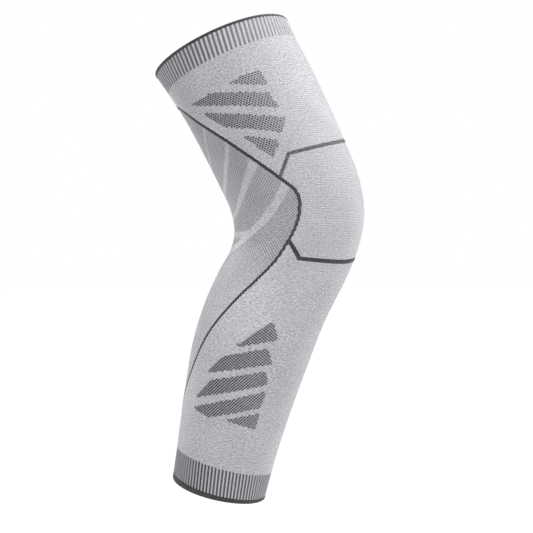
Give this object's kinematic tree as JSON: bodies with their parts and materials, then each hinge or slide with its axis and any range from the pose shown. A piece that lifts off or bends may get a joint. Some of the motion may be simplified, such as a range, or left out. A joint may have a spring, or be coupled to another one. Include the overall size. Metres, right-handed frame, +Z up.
{
  "type": "full-leg compression sleeve",
  "caption": "Knitted tube sleeve for one leg from mid thigh to ankle, in its worn form with the knee bent, with ribbed cuffs, a knee panel, a back panel and slanted side vents.",
  "frame": {"origin": "middle of the knee, inside the sleeve, where the leg holds it", "axes": "+Z up along the standing leg, +X to the front of the knee, +Y to the wearer's left"},
  "size_m": [0.2199, 0.1426, 0.5043],
  "materials": {
    "grey_knit": "light grey heather plain knit, matt",
    "back_knit": "grey bird's-eye mesh knit with lighter plain rays, matt",
    "vent_knit": "dark and light checked open knit, matt",
    "rib_knit": "ribbed knit, light ribs over dark grooves, matt",
    "dark_knit": "charcoal knit, matt"
  },
  "bodies": {
    "root": {"thigh_edge": "dark_knit", "thigh_cuff": "rib_knit", "thigh_wall": "grey_knit", "knee_panel": "grey_knit", "back_panel": "back_knit", "calf_wall": "grey_knit", "back_line": "dark_knit", "upper_knee_line": "dark_knit", "lower_knee_line": "dark_knit", "ankle_cuff": "rib_knit", "ankle_edge": "dark_knit", "thigh_vent_right_1": "vent_knit", "thigh_vent_right_2": "vent_knit", "thigh_vent_right_3": "vent_knit", "thigh_vent_right_4": "vent_knit", "thigh_vent_left_1": "vent_knit", "thigh_vent_left_2": "vent_knit", "thigh_vent_left_3": "vent_knit", "thigh_vent_left_4": "vent_knit", "calf_vent_right_1": "vent_knit", "calf_vent_right_2": "vent_knit", "calf_vent_right_3": "vent_knit", "calf_vent_right_4": "vent_knit", "calf_vent_right_5": "vent_knit", "calf_vent_left_1": "vent_knit", "calf_vent_left_2": "vent_knit", "calf_vent_left_3": "vent_knit", "calf_vent_left_4": "vent_knit", "calf_vent_left_5": "vent_knit"}
  },
  "joints": []
}
